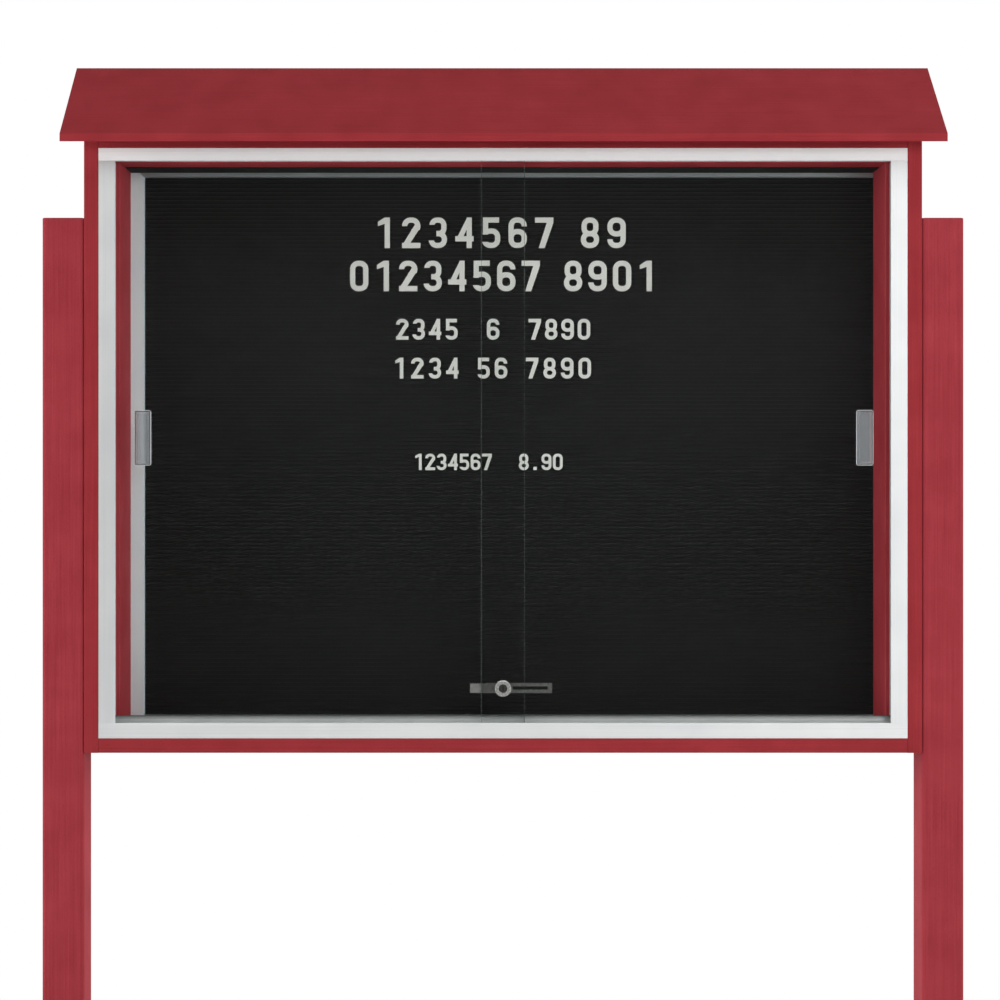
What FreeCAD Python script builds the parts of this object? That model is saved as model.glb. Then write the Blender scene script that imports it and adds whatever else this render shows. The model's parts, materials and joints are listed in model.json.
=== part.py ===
import FreeCAD, Part
import math
import os
import re
import Sketcher

# Lockable notice board on two posts: a case of recycled plastic lumber with a gabled roof, two
# by-pass glass doors in an aluminium track frame, and a grooved letter board inside.
# Frame: X to the right, Y from the front to the back, Z up. The origin is on the ground line,
# midway between the posts and in their centre plane. All sizes are in millimetres and degrees.

SIZES = {
    # Posts
    "post_size": 63.5,
    "post_length": 2438.4,
    "post_buried": 609.6,
    "post_round": 6.0,
    # Case, over its boards
    "case_width": 1270.0,
    "case_height": 938.5,
    "case_depth": 152.4,
    "case_bottom": 1018.0,
    "board_thick": 22.2,
    "back_thick": 9.5,
    "side_liner": 28.6,
    "top_liner": 19.05,
    "board_round": 1.5,
    # Roof
    "roof_pitch": 43.5,
    "roof_overhang": 55.0,
    "roof_side": 25.4,
    "eave_drop": 22.3,
    "slab_thick": 9.5,
    "slab_round": 1.0,
    # Aluminium frame of the doors
    "track_wall": 2.4,
    "track_base": 3.0,
    "track_fin": 1.6,
    "fin_rise": 18.0,
    "top_track_rise": 19.05,
    "top_fin_rise": 16.8,
    "front_lip_rise": 23.3,
    "rear_lip_rise": 32.0,
    "jamb_face": 25.4,
    "jamb_fin_rise": 22.2,
    "jamb_floor": 16.6,
    "glide_thick": 2.5,
    "bumper_length": 50.0,
    # Glass doors
    "glass_thick": 6.0,
    "glass_gap": 8.0,
    "glass_play": 0.6,
    "glass_edge": 0.6,
    "door_overlap": 66.4,
    "door_bite": 10.0,
    "seat_gap": 0.3,
    # Finger pulls
    "pull_width": 25.4,
    "pull_height": 84.0,
    "pull_thick": 5.0,
    "pull_rim": 4.5,
    "pull_floor": 1.6,
    "pull_inset": 36.2,
    "pull_rise": 477.5,
    # Lock
    "lock_across": 0.0,
    "lock_rise": 97.5,
    "flange_radius": 12.5,
    "flange_thick": 4.0,
    "flange_chamfer": 1.2,
    "neck_radius": 9.5,
    "neck_gap": 0.3,
    "barrel_floor": 1.5,
    "plug_radius": 6.45,
    "plug_recess": 0.4,
    "turn_gap": 0.05,
    "tail_radius": 3.0,
    "tail_square": 4.0,
    "key_width": 1.7,
    "key_height": 7.0,
    "key_depth": 5.0,
    "bar_left": 50.0,
    "bar_right": 74.6,
    "bar_height": 15.0,
    "bar_thick": 2.0,
    "bar_tooth": 4.0,
    "bar_tooth_depth": 1.6,
    "slot_start": 15.0,
    "slot_end": 68.0,
    "slot_height": 5.0,
    "cam_half": 4.0,
    "cam_reach": 11.0,
    "cam_thick": 2.0,
    "cam_gap": 0.3,
    "keeper_gap": 0.6,
    "keeper_width": 4.0,
    "keeper_height": 4.6,
    "keeper_lift": 1.0,
    "keeper_clear": 0.8,
    # Letter board and its trim
    "panel_depth": 25.0,
    "panel_gap": 0.3,
    "panel_tuck_right": 25.2,
    "panel_tuck_top": 13.0,
    "trim_width": 20.4,
    "trim_wall": 1.8,
    "trim_tube": 13.1,
    "trim_leg": 2.4,
    "letter_thick": 9.5,
    "letter_bite": 10.0,
    "groove_pitch": 6.35,
    "groove_width": 1.6,
    "groove_depth": 4.0,
    # Press-in characters: height, distance from one to the next, the left end of each line, its
    # level as a share of the letter board's height, and the space between its groups
    "digit_thick": 2.5,
    "digit_tab": 1.2,
    "digit_slim": 0.6,
    "digit_stroke": 0.17,
    "first_cap": 48.3,
    "first_step": 42.0,
    "first_left": -199.3,
    "first_level": 0.8607,
    "first_space": 43.3,
    "second_cap": 48.3,
    "second_step": 38.7,
    "second_left": -239.5,
    "second_level": 0.7821,
    "second_space": 37.9,
    "third_cap": 33.0,
    "third_step": 25.9,
    "third_left": -166.9,
    "third_level": 0.6939,
    "third_space": 46.0,
    "fourth_cap": 33.0,
    "fourth_step": 27.7,
    "fourth_left": -170.8,
    "fourth_level": 0.6231,
    "fourth_space": 29.3,
    "fifth_cap": 26.0,
    "fifth_step": 17.9,
    "fifth_left": -138.5,
    "fifth_level": 0.4564,
    "fifth_space": 42.6,
    # Wood screws and the lag bolts of the posts
    "screw_head": 9.0,
    "screw_shank": 4.8,
    "screw_play": 0.15,
    "case_screw": 60.0,
    "liner_screw": 45.0,
    "top_liner_screw": 38.0,
    "back_screw": 32.0,
    "roof_screw": 25.0,
    "roof_base_screw": 45.0,
    "letter_screw": 14.0,
    "screw_inset": 11.0,
    "roof_stagger": 5.0,
    "plug_thick": 3.0,
    "track_head": 6.8,
    "track_shank": 3.5,
    "track_screw": 20.0,
    "bar_screw_head": 3.8,
    "bar_screw_shank": 2.0,
    "bar_screw": 5.0,
    "bar_screw_across": 8.0,
    "cam_screw_head": 6.0,
    "cam_screw_cap": 1.4,
    "cam_screw_shank": 2.4,
    "cam_screw": 6.0,
    "bolt_flats": 14.3,
    "bolt_head": 6.0,
    "bolt_shank": 9.5,
    "bolt_length": 95.0,
    "bolt_inset": 70.0,
    "bolt_depth": 42.0,
    "bolt_play": 0.2,
    "bore_radius": 15.0,
    "bore_depth": 14.0,
    "washer_radius": 12.7,
    "washer_thick": 2.0,
}

doc = FreeCAD.newDocument("notice_board")
sheet = doc.addObject("Spreadsheet::Sheet", "Sizes")
for row, (alias, size) in enumerate(SIZES.items(), start=1):
    sheet.set(f"A{row}", alias)
    sheet.set(f"B{row}", str(size))
    sheet.setAlias(f"B{row}", alias)
doc.recompute()

parts = []


def linked(text):
    """An expression whose size names point at the sheet's cells."""
    return re.sub(r"[a-z][a-z_]*", lambda word: f"Sizes.{word.group()}" if word.group() in SIZES else word.group(), text)


def number(text):
    """The value that an expression of the sizes has now."""
    return float(sheet.evalExpression(linked(text)))


def bind(item, path, text):
    item.setExpression(path, linked(text))


def place(item, at):
    """Put an object at a point given as three expressions."""
    for axis, text in zip("xyz", at):
        bind(item, f"Placement.Base.{axis}", text)


def keep(item, node):
    """Name a finished piece, which is written to a file of that name."""
    item.Label = node
    parts.append((node, item))
    return item


# Levels and planes that several pieces share

front = "(-post_size / 2)"
back = "(-post_size / 2 + case_depth)"
board_back = "(-post_size / 2 + case_depth - back_thick)"
ridge = "(-post_size / 2 + case_depth / 2)"
outer_half = "(case_width / 2)"
inner_half = "(case_width / 2 - board_thick)"
opening_half = "(case_width / 2 - board_thick - side_liner)"
case_top = "(case_bottom + case_height)"
floor_level = "(case_bottom + board_thick)"
roof_level = "(case_bottom + case_height - board_thick)"
inner_height = "(case_height - 2 * board_thick)"
post_top = "(post_length - post_buried)"


# Ways of making a piece

def sketch_of(body, role, loops, circles=()):
    """A sketch on one of the body's own planes. Every corner is placed from the origin."""
    plane = [item for item in body.Origin.OriginFeatures if item.Role == role][0]
    sketch = body.newObject("Sketcher::SketchObject", body.Name + "_sketch")
    sketch.AttachmentSupport = [(plane, "")]
    sketch.MapMode = "FlatFace"
    for loop in loops:
        first = sketch.GeometryCount
        count = len(loop)
        spots = [FreeCAD.Vector(number(across), number(up), 0) for across, up in loop]
        for corner in range(count):
            sketch.addGeometry(Part.LineSegment(spots[corner], spots[(corner + 1) % count]), False)
        for corner in range(count):
            following = first + (corner + 1) % count
            sketch.addConstraint(Sketcher.Constraint("Coincident", first + corner, 2, following, 1))
        for corner, (across, up) in enumerate(loop):
            for kind, text in (("DistanceX", across), ("DistanceY", up)):
                rule = Sketcher.Constraint(kind, -1, 1, first + corner, 1, number(text))
                bind(sketch, f"Constraints[{sketch.addConstraint(rule)}]", text)
    for across, up, radius in circles:
        centre = FreeCAD.Vector(number(across), number(up), 0)
        circle = Part.Circle(centre, FreeCAD.Vector(0, 0, 1), number(radius))
        index = sketch.addGeometry(circle, False)
        for kind, text in (("DistanceX", across), ("DistanceY", up)):
            rule = Sketcher.Constraint(kind, -1, 1, index, 3, number(text))
            bind(sketch, f"Constraints[{sketch.addConstraint(rule)}]", text)
        rule = Sketcher.Constraint("Radius", index, number(radius))
        bind(sketch, f"Constraints[{sketch.addConstraint(rule)}]", radius)
    return sketch


def prism(name, role, loops, length, at, circles=()):
    """A straight piece: its section on a plane of its own, padded along +X, +Y or +Z."""
    body = doc.addObject("PartDesign::Body", name)
    sketch = sketch_of(body, role, loops, circles)
    pad = body.newObject("PartDesign::Pad", name + "_pad")
    pad.Profile = sketch
    pad.Reversed = role == "XZ_Plane"
    pad.Length = number(length)
    bind(pad, "Length", length)
    place(body, at)
    return body


def rectangle(low_across, low_up, high_across, high_up):
    return [(low_across, low_up), (high_across, low_up), (high_across, high_up), (low_across, high_up)]


def soften(body, radius, axis=None, kind="PartDesign::Fillet"):
    """Round or chamfer the edges that run along one axis, or all of them."""
    doc.recompute()
    base = body.Tip
    edges = []
    for index, edge in enumerate(base.Shape.Edges, start=1):
        along = edge.tangentAt(edge.FirstParameter)
        if axis is None or abs(getattr(along, axis)) > 0.999:
            edges.append(f"Edge{index}")
    feature = body.newObject(kind, body.Name + "_soft")
    feature.Base = (base, edges)
    path = "Radius" if kind == "PartDesign::Fillet" else "Size"
    setattr(feature, path, number(radius))
    bind(feature, path, radius)
    return body


def sink(body, role, loops, depth, toward_normal):
    """A pocket from one of the body's own planes. It has to take material away."""
    doc.recompute()
    before = body.Shape.Volume
    sketch = sketch_of(body, role, loops)
    pocket = body.newObject("PartDesign::Pocket", body.Name + "_pocket")
    pocket.Profile = sketch
    pocket.Length = number(depth)
    bind(pocket, "Length", depth)
    pocket.Reversed = toward_normal
    doc.recompute()
    if not body.Shape.Volume < before:
        raise ValueError(f"the pocket of {body.Name} cuts nothing")
    return body


def turned(name, profile):
    """A round piece about its own Z axis, from a half section of radius and height."""
    body = doc.addObject("PartDesign::Body", name)
    sketch = sketch_of(body, "XZ_Plane", [profile])
    revolution = body.newObject("PartDesign::Revolution", name + "_turn")
    revolution.Profile = sketch
    revolution.ReferenceAxis = (sketch, ["V_Axis"])
    revolution.Angle = 360
    return body


def block(name, low, size):
    """A plain box from its lowest corner and its three lengths."""
    box = doc.addObject("Part::Box", name)
    for path, text in zip(("Length", "Width", "Height"), size):
        bind(box, path, text)
    place(box, low)
    return box


def rod(name, radius, length, base, direction):
    """A plain cylinder from the centre of its end face, along a named direction."""
    cylinder = doc.addObject("Part::Cylinder", name)
    bind(cylinder, "Radius", radius)
    bind(cylinder, "Height", length)
    cylinder.Placement = FreeCAD.Placement(FreeCAD.Vector(), TURNS[direction])
    place(cylinder, base)
    return cylinder


def cut(name, blank, *tools):
    tool = tools[0]
    if len(tools) > 1:
        tool = doc.addObject("Part::Compound", name + "_tools")
        tool.Links = list(tools)
    result = doc.addObject("Part::Cut", name + "_cut")
    result.Base = blank
    result.Tool = tool
    return result


def group(name, items):
    compound = doc.addObject("Part::Compound", name + "_group")
    compound.Links = items
    return compound


# Fasteners: one of each kind is made at the origin, pointing along +Z with its seat at zero, and
# is repeated by links. Each kind has a hole of the same form, larger by its play.

TURNS = {
    "+x": FreeCAD.Rotation(FreeCAD.Vector(0, 1, 0), 90),
    "-x": FreeCAD.Rotation(FreeCAD.Vector(0, 1, 0), -90),
    "+y": FreeCAD.Rotation(FreeCAD.Vector(1, 0, 0), -90),
    "-y": FreeCAD.Rotation(FreeCAD.Vector(1, 0, 0), 90),
    "+z": FreeCAD.Rotation(),
    "-z": FreeCAD.Rotation(FreeCAD.Vector(1, 0, 0), 180),
    "into the front slab": FreeCAD.Rotation(FreeCAD.Vector(-1, 0, 0), 135),
    "into the rear slab": FreeCAD.Rotation(FreeCAD.Vector(1, 0, 0), 135),
}


def repeat(name, one, runs):
    """Links to one piece, in runs of a direction and the places where it points that way."""
    copies = []
    for direction, places in runs:
        for at in places:
            copy = doc.addObject("App::Link", f"{name}_{len(copies) + 1}")
            copy.LinkedObject = one
            copy.Placement = FreeCAD.Placement(FreeCAD.Vector(), TURNS[direction])
            if direction.endswith("slab"):
                bind(copy, "Placement.Rotation.Angle", "180 - roof_pitch")
            place(copy, at)
            copies.append(copy)
    return group(name, copies)


def countersunk(name, head, shank, length, runs, above="1"):
    """A group of flat-head screws with a square drive, and the holes that they sit in."""
    taper = f"({head} - {shank}) / 2"
    screw = turned(f"{name}_one", [
        ("0", "0"),
        (f"{head} / 2", "0"),
        (f"{shank} / 2", taper),
        (f"{shank} / 2", f"{length} - {shank}"),
        ("0", length),
    ])
    drive = f"{shank} * 0.28"
    sink(screw, "XY_Plane", [rectangle(f"-{drive}", f"-{drive}", drive, drive)], f"{taper} * 0.8", True)
    hole = turned(f"{name}_hole", [
        ("0", f"-({above})"),
        (f"{head} / 2 + screw_play", f"-({above})"),
        (f"{head} / 2 + screw_play", "0"),
        (f"{shank} / 2 + screw_play", taper),
        (f"{shank} / 2 + screw_play", f"{length} - {shank}"),
        ("0", f"{length} + screw_play"),
    ])
    return repeat(name, screw, runs), repeat(f"{name}_holes", hole, runs)


# Lag bolts of the posts, three a side, in counterbores on the outer faces

bolt_levels = (
    "case_bottom + bolt_inset",
    f"(case_bottom + {post_top}) / 2",
    f"{post_top} - bolt_inset",
)
bolt_plane = f"{front} + bolt_depth"
bolt_seat = f"({outer_half} + post_size - bore_depth)"
bolt_head = doc.addObject("Part::Prism", "bolt_head")
bolt_head.Polygon = 6
bind(bolt_head, "Circumradius", "bolt_flats / sqrt(3)")
bind(bolt_head, "Height", "bolt_head")
place(bolt_head, ("0", "0", "-bolt_head"))
bolt_shank = turned("bolt_shank", [
    ("0", "0"),
    ("bolt_shank / 2", "0"),
    ("bolt_shank / 2", "bolt_length - bolt_shank"),
    ("0", "bolt_length"),
])
bolt_one = doc.addObject("Part::Fuse", "bolt_one")
bolt_one.Base = bolt_head
bolt_one.Tool = bolt_shank
washer_one = turned("washer_one", [
    ("bolt_shank / 2 + bolt_play", "0"),
    ("washer_radius", "0"),
    ("washer_radius", "washer_thick"),
    ("bolt_shank / 2 + bolt_play", "washer_thick"),
])
bolt_hole = turned("bolt_hole", [
    ("0", "-bore_depth - 1"),
    ("bore_radius", "-bore_depth - 1"),
    ("bore_radius", "0"),
    ("bolt_shank / 2 + bolt_play", "0"),
    ("bolt_shank / 2 + bolt_play", "bolt_length - washer_thick - bolt_shank"),
    ("0", "bolt_length - washer_thick + bolt_play"),
])
bolt_runs = []
hole_runs = []
for direction, sign in (("+x", "-"), ("-x", "")):
    under_head = f"{sign}({bolt_seat} + washer_thick)"
    bolt_runs.append((direction, [(under_head, bolt_plane, level) for level in bolt_levels]))
    hole_runs.append((direction, [(f"{sign}{bolt_seat}", bolt_plane, level) for level in bolt_levels]))
keep(repeat("bolts", bolt_one, bolt_runs), "post_bolts")
keep(repeat("washers", washer_one, bolt_runs), "post_washers")
bolt_holes = repeat("bolt_holes", bolt_hole, hole_runs)

# Posts: square plastic lumber with rounded edges, their front faces flush with the case

for node, centre in (
    ("post_left", f"-({outer_half} + post_size / 2)"),
    ("post_right", f"{outer_half} + post_size / 2"),
):
    half = "post_size / 2"
    post = prism(node + "_blank", "XY_Plane", [rectangle(f"-{half}", f"-{half}", half, half)], "post_length",
                 (centre, "0", "-post_buried"))
    soften(post, "post_round", "z")
    keep(cut(node, post, bolt_holes), node)

# Screws of the case. Side boards are screwed to the ends of the top and bottom boards, and the
# gables to the rails and the ridge board of the roof.

slope = "tan(roof_pitch)"
eave_low = f"({case_top} - eave_drop)"
under_front = f"({eave_low} + roof_overhang * {slope})"
under_ridge = f"({eave_low} + (roof_overhang + case_depth / 2) * {slope})"
plumb = "(slab_thick / cos(roof_pitch))"

case_points = []
for level in (f"case_bottom + board_thick / 2", f"{case_top} - board_thick / 2"):
    for share in ("0.25", "0.75"):
        case_points.append((f"{front} + (case_depth - back_thick) * {share}", level))
rail_level = f"{case_top} + ({under_front} - {case_top}) / 2"
case_points.append((f"{front} + board_thick / 2", rail_level))
case_points.append((f"{back} - board_thick / 2", rail_level))
case_points.append((ridge, f"{case_top} + ({under_ridge} - {case_top}) / 2"))
case_screws, case_holes = countersunk("case_screws", "screw_head", "screw_shank", "case_screw", [
    ("+x", [(f"-{outer_half}", deep, level) for deep, level in case_points]),
    ("-x", [(outer_half, deep, level) for deep, level in case_points]),
])
keep(case_screws, "case_screws")

# Liner screws, from the outer faces of the side boards behind the bolts

liner_plane = f"{front} + case_depth * 0.62"
liner_levels = [f"case_bottom + case_height * {share}" for share in ("0.12", "0.38", "0.62", "0.88")]
liner_screws, liner_holes = countersunk("liner_screws", "screw_head", "screw_shank", "liner_screw", [
    ("+x", [(f"-{outer_half}", liner_plane, level) for level in liner_levels]),
    ("-x", [(outer_half, liner_plane, level) for level in liner_levels]),
])
keep(liner_screws, "liner_screws")

liner_top_plane = f"{front} + case_depth * 0.33"
top_liner_screws, top_liner_holes = countersunk(
    "top_liner_screws", "screw_head", "screw_shank", "top_liner_screw",
    [("-z", [(f"{opening_half} * {share}", liner_top_plane, case_top) for share in ("-0.6", "0", "0.6")])])
keep(top_liner_screws, "top_liner_screws")

# Back panel screws, round the edge and into the rear edges of the boards

edge_half = "(case_width / 2 - board_thick / 2)"
back_points = []
for level in ("case_bottom + board_thick / 2", f"{case_top} - board_thick / 2"):
    back_points += [(f"{inner_half} * {share}", back, level) for share in ("-0.9", "-0.45", "0.45", "0.9")]
for sign in ("-", ""):
    levels = [f"case_bottom + case_height * {share}" for share in ("0.25", "0.5", "0.75")]
    back_points += [(f"{sign}{edge_half}", back, level) for level in levels]
back_screws, back_holes = countersunk("back_screws", "screw_head", "screw_shank", "back_screw",
                                      [("-y", back_points)])
keep(back_screws, "back_screws")

# Screws that hold the roof's rails and ridge board, from below through the top board

rail_rear_plane = f"({back} - board_thick + {board_back}) / 2"
base_points = []
for deep in (f"{front} + board_thick / 2", ridge, rail_rear_plane):
    base_points += [(f"{inner_half} * {share}", deep, roof_level) for share in ("-0.75", "0.1", "0.75")]
roof_base_screws, roof_base_holes = countersunk("roof_base_screws", "screw_head", "screw_shank",
                                                "roof_base_screw", [("+z", base_points)])
keep(roof_base_screws, "roof_base_screws")

# Screws of the roof sheets, a row over each rail and a row over the ridge board, each sunk under a
# plug of the roof's own plastic. The rows of the two sheets are staggered, so that they pass each
# other in the ridge board.

roof_spots = [f"-{edge_half}", edge_half]
roof_spots += [f"({inner_half} - 60) * {share}" for share in ("-1", "-0.5", "0", "0.5", "1")]
near_ridge = f"({ridge} - slab_thick * sin(roof_pitch) - board_thick / 2 + 2)"
front_points = []
rear_points = []
for deep in (front, near_ridge):
    surface = f"{eave_low} + {plumb} + ({deep} - {front} + roof_overhang) * {slope}"
    seat = f"({deep} + plug_thick * sin(roof_pitch))"
    seat_level = f"{surface} - plug_thick * cos(roof_pitch)"
    front_points += [(f"{spot} - roof_stagger", seat, seat_level) for spot in roof_spots]
    rear_points += [(f"{spot} + roof_stagger", f"2 * {ridge} - {seat}", seat_level) for spot in roof_spots]
roof_runs = [("into the front slab", front_points), ("into the rear slab", rear_points)]
roof_screws, roof_holes = countersunk("roof_screws", "screw_head", "screw_shank", "roof_screw", roof_runs,
                                      "plug_thick + 1")
keep(roof_screws, "roof_screws")
plug_one = turned("roof_plug_one", [
    ("0", "-plug_thick"),
    ("screw_head / 2", "-plug_thick"),
    ("screw_head / 2", "0"),
    ("0", "0"),
])
keep(repeat("roof_plugs", plug_one, roof_runs), "roof_plugs")

# Case boards: the side boards run the full height, the top and bottom boards lie between them

board_depth = "case_depth - back_thick"
for node, left in (("side_board_left", f"-{outer_half}"), ("side_board_right", inner_half)):
    board = prism(node + "_blank", "XY_Plane", [rectangle("0", "0", "board_thick", board_depth)], "case_height",
                  (left, front, "case_bottom"))
    soften(board, "board_round", "z")
    keep(cut(node, board, bolt_holes, case_holes, liner_holes, back_holes), node)

# Channels of the track frame, from front to back: lip, channel, fin, gap, fin, channel, lip

channel = "(glass_thick + 2 * glass_play)"
web = "(glass_gap - 2 * glass_play)"
frame_depth = f"(2 * track_wall + 2 * {channel} + {web})"
fin_start = f"(track_wall + {channel})"
fin_end = f"({fin_start} + {web})"
teeth = [
    ("0", "track_wall"),
    (fin_start, f"{fin_start} + track_fin"),
    (f"{fin_end} - track_fin", fin_end),
    (f"{frame_depth} - track_wall", frame_depth),
]
front_channel = f"({front} + track_wall + {channel} / 2)"
rear_channel = f"({front} + {fin_end} + {channel} / 2)"


def comb(outer, floor, tips):
    """The outline of a channelled section, as pairs of depth and height."""
    points = [(teeth[0][0], outer)]
    for (start, end), tip in zip(teeth, tips):
        if start != "0":
            points.append((start, floor))
        points += [(start, tip), (end, tip)]
        if end != frame_depth:
            points.append((end, floor))
    points.append((frame_depth, outer))
    return points


# Track screws, in the rear channels, where the top track hides them and the glide strip lies over

track_spots = [f"{inner_half} * {share}" for share in ("-0.9", "-0.3", "0.3", "0.9")]
track_screws, track_holes = countersunk("track_screws", "track_head", "track_shank", "track_screw", [
    ("+z", [(spot, rear_channel, f"{roof_level} - track_base") for spot in track_spots]),
    ("-z", [(spot, rear_channel, f"{floor_level} + track_base") for spot in track_spots]),
])
keep(track_screws, "track_screws")

for node, level in (("top_board", roof_level), ("bottom_board", "case_bottom")):
    board = prism(node + "_blank", "YZ_Plane", [rectangle("0", "0", board_depth, "board_thick")],
                  f"2 * {inner_half}", (f"-{inner_half}", front, level))
    soften(board, "board_round", "x")
    tools = [case_holes, back_holes, track_holes]
    if node == "top_board":
        tools += [roof_base_holes, top_liner_holes]
    keep(cut(node, board, *tools), node)

# Liners: thick boards behind the track frame, flush with its inner edges. The left one runs to
# the back panel. The right one and the top one stop in front of the letter board.

panel_front = "(case_depth - back_thick - panel_depth)"
liner_width = "side_liner"
for node, left, end in (
    ("liner_left", f"-{inner_half}", board_depth),
    ("liner_right", opening_half, f"{panel_front} - panel_gap"),
):
    liner = prism(node + "_blank", "XY_Plane", [rectangle("0", frame_depth, "side_liner", end)], inner_height,
                  (left, front, floor_level))
    soften(liner, "board_round", "z")
    keep(cut(node, liner, bolt_holes, liner_holes), node)
liner = prism("liner_top_blank", "YZ_Plane",
              [rectangle(frame_depth, "0", f"{panel_front} - panel_gap", "top_liner")],
              f"2 * {opening_half}", (f"-{opening_half}", front, f"{roof_level} - top_liner"))
soften(liner, "board_round", "x")
keep(cut("liner_top", liner, top_liner_holes), "liner_top")

# Letter board trim screws, through the back panel into the stiles' rear legs

panel_left = f"(-{opening_half} + panel_gap)"
panel_right = f"({opening_half} + panel_tuck_right)"
panel_top = f"({roof_level} - top_liner + panel_tuck_top)"
panel_height = f"({panel_top} - {floor_level})"
screw_line = "(trim_wall + trim_width - letter_bite) / 2"
letter_points = []
for across in (f"{panel_left} + {screw_line}", f"{panel_right} - {screw_line}"):
    letter_points += [(across, back, f"{floor_level} + {panel_height} * {share}") for share in ("0.15", "0.5", "0.85")]
letter_screws, letter_holes = countersunk("letter_screws", "screw_head", "screw_shank", "letter_screw",
                                          [("-y", letter_points)])
keep(letter_screws, "letter_screws")

# Back panel: a sheet over the rear edges of the boards

panel = prism("back_panel_blank", "XZ_Plane", [rectangle("0", "0", "case_width", "case_height")], "back_thick",
              (f"-{outer_half}", board_back, "case_bottom"))
soften(panel, "board_round")
keep(cut("back_panel", panel, back_holes, letter_holes), "back_panel")

# Roof: two sheets that meet at the ridge, on gables, eave rails and a ridge board

roof_front = f"({front} - roof_overhang)"
slab_length = "case_width + 2 * roof_side"
slab_left = f"-({outer_half} + roof_side)"
slab_loop = [
    (roof_front, eave_low),
    (ridge, under_ridge),
    (ridge, f"{under_ridge} + {plumb}"),
    (roof_front, f"{eave_low} + {plumb}"),
]
rail_inner = f"({front} + board_thick)"
rail_loop = [
    (front, case_top),
    (rail_inner, case_top),
    (rail_inner, f"{under_front} + board_thick * {slope}"),
    (front, under_front),
]


def mirrored(loop):
    """The same outline on the other side of the ridge."""
    return [(f"2 * {ridge} - {across}", up) for across, up in loop]


for node, loop in (("roof_slab_front", slab_loop), ("roof_slab_rear", mirrored(slab_loop))):
    slab = prism(node + "_blank", "YZ_Plane", [loop], slab_length, (slab_left, "0", "0"))
    soften(slab, "slab_round", "x")
    keep(cut(node, slab, roof_holes), node)
for node, loop in (("eave_rail_front", rail_loop), ("eave_rail_rear", mirrored(rail_loop))):
    rail = prism(node + "_blank", "YZ_Plane", [loop], f"2 * {inner_half}", (f"-{inner_half}", "0", "0"))
    keep(cut(node, rail, roof_holes, roof_base_holes, case_holes), node)
ridge_shoulder = f"{under_ridge} - board_thick / 2 * {slope}"
rail = prism("ridge_board_blank", "YZ_Plane", [[
    (f"{ridge} - board_thick / 2", case_top),
    (f"{ridge} + board_thick / 2", case_top),
    (f"{ridge} + board_thick / 2", ridge_shoulder),
    (ridge, under_ridge),
    (f"{ridge} - board_thick / 2", ridge_shoulder),
]], f"2 * {inner_half}", (f"-{inner_half}", "0", "0"))
keep(cut("ridge_board", rail, roof_holes, roof_base_holes, case_holes), "ridge_board")
gable_loop = [
    (front, case_top),
    (back, case_top),
    (back, under_front),
    (ridge, under_ridge),
    (front, under_front),
]
for node, left in (("gable_left", f"-{outer_half}"), ("gable_right", inner_half)):
    gable = prism(node + "_blank", "YZ_Plane", [gable_loop], "board_thick", (left, "0", "0"))
    keep(cut(node, gable, roof_holes, case_holes), node)

# Track frame: aluminium sections. The tracks run the full width and the jambs stand between them.

top_tips = ["-top_track_rise"] + ["-top_fin_rise"] * 3
top_track = prism("top_track_blank", "YZ_Plane", [comb("0", "-track_base", top_tips)], f"2 * {inner_half}",
                  (f"-{inner_half}", front, roof_level))
keep(cut("top_track", top_track, track_holes), "top_track")
bottom_tips = ["front_lip_rise", "fin_rise", "fin_rise", "rear_lip_rise"]
bottom_track = prism("bottom_track_blank", "YZ_Plane", [comb("0", "track_base", bottom_tips)],
                     f"2 * {inner_half}", (f"-{inner_half}", front, floor_level))
keep(cut("bottom_track", bottom_track, track_holes), "bottom_track")

jamb_height = f"({inner_height} - top_track_rise - front_lip_rise)"
jamb_tips = ["jamb_face"] + ["jamb_fin_rise"] * 3
for node, side, inward in (("jamb_left", f"-{inner_half}", ""), ("jamb_right", inner_half, "-")):
    section = [(f"{inward}({height})", deep) for deep, height in comb("0", "jamb_floor", jamb_tips)]
    near = f"{inward}(track_wall)"
    far = f"{inward}(jamb_floor - track_wall)"
    hollow = rectangle(near, "track_wall", far, f"{frame_depth} - track_wall")
    jamb = prism(node + "_blank", "XY_Plane", [section, hollow], jamb_height,
                 (side, front, f"{floor_level} + front_lip_rise"))
    notch_left = side if inward == "" else f"{side} - jamb_face"
    notch = block(node + "_notch", (notch_left, f"{front} + {frame_depth} - track_wall",
                                    f"{floor_level} + front_lip_rise"),
                  ("jamb_face", "track_wall", "rear_lip_rise - front_lip_rise"))
    keep(cut(node, jamb, notch), node)

# Glide strips in the bottom channels and rubber bumpers in the jambs that a door closes against

strip_width = f"{channel} - 2 * panel_gap"
strips = []
for name, centre in (("front_glide", front_channel), ("rear_glide", rear_channel)):
    strips.append(block(name, (f"-{inner_half}", f"{centre} - ({strip_width}) / 2", f"{floor_level} + track_base"),
                        (f"2 * {inner_half}", strip_width, "glide_thick")))
keep(group("glides", strips), "glide_strips")
bumper_thick = "side_liner - jamb_floor - door_bite - seat_gap"
bumpers = []
for name, left, centre in (
    ("left_rear", f"-{inner_half} + jamb_floor", rear_channel),
    ("right_front", f"{inner_half} - jamb_floor - ({bumper_thick})", front_channel),
    ("right_rear", f"{inner_half} - jamb_floor - ({bumper_thick})", rear_channel),
):
    for share in ("0.2", "0.8"):
        bumpers.append(block(f"{name}_bumper_{len(bumpers)}",
                             (left, f"{centre} - ({strip_width}) / 2",
                              f"{floor_level} + {inner_height} * {share} - bumper_length / 2"),
                             (bumper_thick, strip_width, "bumper_length")))
keep(group("bumpers", bumpers), "jamb_bumpers")

# Glass doors: the left pane runs in the rear channel and the right pane in the front channel

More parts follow.
